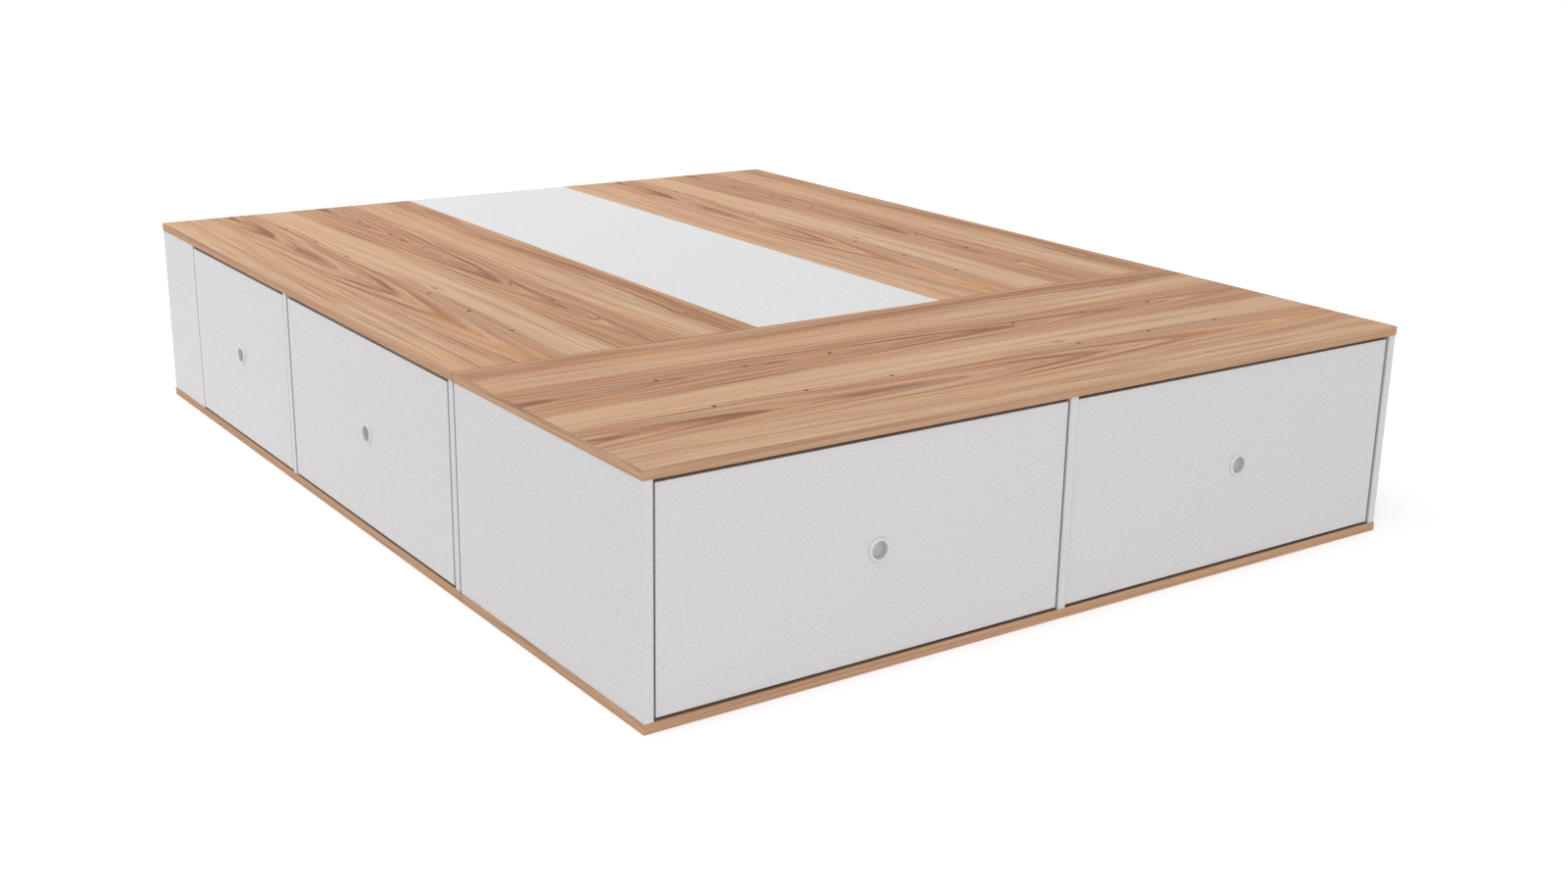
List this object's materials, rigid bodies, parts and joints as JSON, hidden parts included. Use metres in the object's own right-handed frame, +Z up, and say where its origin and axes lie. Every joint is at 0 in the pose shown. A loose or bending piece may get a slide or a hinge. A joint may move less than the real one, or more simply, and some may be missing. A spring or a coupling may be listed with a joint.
{
  "type": "storage bed base",
  "caption": "Low platform bed base of drawer modules in white and walnut laminate board, with round finger cups, full-extension runners and a loose cover board.",
  "frame": {"origin": "on the floor, at the centre of the footprint", "axes": "+X to the right of someone who stands at the foot and faces the head, +Y from the foot to the head, +Z up"},
  "size_m": [1.604, 2.085, 0.395],
  "materials": {
    "walnut_board": "satin laminate with printed walnut grain",
    "white_board": "matt white melamine",
    "white_plastic": "satin white moulded plastic",
    "steel": "zinc-plated steel",
    "beech": "plain turned beech"
  },
  "bodies": {
    "carcass": {"foot_top": "walnut_board", "foot_bottom": "walnut_board", "foot_left_panel": "white_board", "foot_right_panel": "white_board", "foot_divider": "white_board", "foot_back": "white_board", "left_top": "walnut_board", "left_bottom": "walnut_board", "left_foot_panel": "white_board", "left_head_panel": "white_board", "left_divider": "white_board", "left_upright": "white_board", "left_blind_panel": "white_board", "left_back": "white_board", "right_top": "walnut_board", "right_bottom": "walnut_board", "right_foot_panel": "white_board", "right_head_panel": "white_board", "right_divider": "white_board", "right_upright": "white_board", "right_blind_panel": "white_board", "right_back": "white_board", "cover_board": "white_board", "cover_ledgers": "white_board", "connector_bolts": "steel", "bottom_screws": "steel", "top_dowels": "beech", "cabinet_rails": "steel"},
    "foot_drawer_1": {"foot_drawer_1_front": "white_board", "foot_drawer_1_cup": "white_plastic", "foot_drawer_1_box": "white_board", "foot_drawer_1_rails": "steel"},
    "foot_drawer_1_middle": {"foot_drawer_1_mid_rails": "steel"},
    "foot_drawer_2": {"foot_drawer_2_front": "white_board", "foot_drawer_2_cup": "white_plastic", "foot_drawer_2_box": "white_board", "foot_drawer_2_rails": "steel"},
    "foot_drawer_2_middle": {"foot_drawer_2_mid_rails": "steel"},
    "left_near_drawer": {"left_near_drawer_front": "white_board", "left_near_drawer_cup": "white_plastic", "left_near_drawer_box": "white_board", "left_near_drawer_rails": "steel"},
    "left_near_drawer_middle": {"left_near_drawer_mid_rails": "steel"},
    "left_far_drawer": {"left_far_drawer_front": "white_board", "left_far_drawer_cup": "white_plastic", "left_far_drawer_box": "white_board", "left_far_drawer_rails": "steel"},
    "left_far_drawer_middle": {"left_far_drawer_mid_rails": "steel"},
    "right_near_drawer": {"right_near_drawer_front": "white_board", "right_near_drawer_cup": "white_plastic", "right_near_drawer_box": "white_board", "right_near_drawer_rails": "steel"},
    "right_near_drawer_middle": {"right_near_drawer_mid_rails": "steel"},
    "right_far_drawer": {"right_far_drawer_front": "white_board", "right_far_drawer_cup": "white_plastic", "right_far_drawer_box": "white_board", "right_far_drawer_rails": "steel"},
    "right_far_drawer_middle": {"right_far_drawer_mid_rails": "steel"}
  },
  "joints": [
    {"name": "foot_drawer_1_slide", "type": "slide", "parent": "carcass", "child": "foot_drawer_1", "axis": [0, -1, 0], "range_m": [0, 0.55]},
    {"name": "foot_drawer_1_middle_slide", "type": "slide", "parent": "carcass", "child": "foot_drawer_1_middle", "axis": [0, -1, 0], "range_m": [0, 0.275]},
    {"name": "foot_drawer_2_slide", "type": "slide", "parent": "carcass", "child": "foot_drawer_2", "axis": [0, -1, 0], "range_m": [0, 0.55]},
    {"name": "foot_drawer_2_middle_slide", "type": "slide", "parent": "carcass", "child": "foot_drawer_2_middle", "axis": [0, -1, 0], "range_m": [0, 0.275]},
    {"name": "left_near_drawer_slide", "type": "slide", "parent": "carcass", "child": "left_near_drawer", "axis": [-1, 0, 0], "range_m": [0, 0.55]},
    {"name": "left_near_drawer_middle_slide", "type": "slide", "parent": "carcass", "child": "left_near_drawer_middle", "axis": [-1, 0, 0], "range_m": [0, 0.275]},
    {"name": "left_far_drawer_slide", "type": "slide", "parent": "carcass", "child": "left_far_drawer", "axis": [-1, 0, 0], "range_m": [0, 0.55]},
    {"name": "left_far_drawer_middle_slide", "type": "slide", "parent": "carcass", "child": "left_far_drawer_middle", "axis": [-1, 0, 0], "range_m": [0, 0.275]},
    {"name": "right_near_drawer_slide", "type": "slide", "parent": "carcass", "child": "right_near_drawer", "axis": [1, 0, 0], "range_m": [0, 0.55]},
    {"name": "right_near_drawer_middle_slide", "type": "slide", "parent": "carcass", "child": "right_near_drawer_middle", "axis": [1, 0, 0], "range_m": [0, 0.275]},
    {"name": "right_far_drawer_slide", "type": "slide", "parent": "carcass", "child": "right_far_drawer", "axis": [1, 0, 0], "range_m": [0, 0.55]},
    {"name": "right_far_drawer_middle_slide", "type": "slide", "parent": "carcass", "child": "right_far_drawer_middle", "axis": [1, 0, 0], "range_m": [0, 0.275]}
  ],
  "couplings": [
    {"joint": "foot_drawer_1_middle_slide", "follows": "foot_drawer_1_slide", "ratio": 0.5},
    {"joint": "foot_drawer_2_middle_slide", "follows": "foot_drawer_2_slide", "ratio": 0.5},
    {"joint": "left_near_drawer_middle_slide", "follows": "left_near_drawer_slide", "ratio": 0.5},
    {"joint": "left_far_drawer_middle_slide", "follows": "left_far_drawer_slide", "ratio": 0.5},
    {"joint": "right_near_drawer_middle_slide", "follows": "right_near_drawer_slide", "ratio": 0.5},
    {"joint": "right_far_drawer_middle_slide", "follows": "right_far_drawer_slide", "ratio": 0.5}
  ]
}
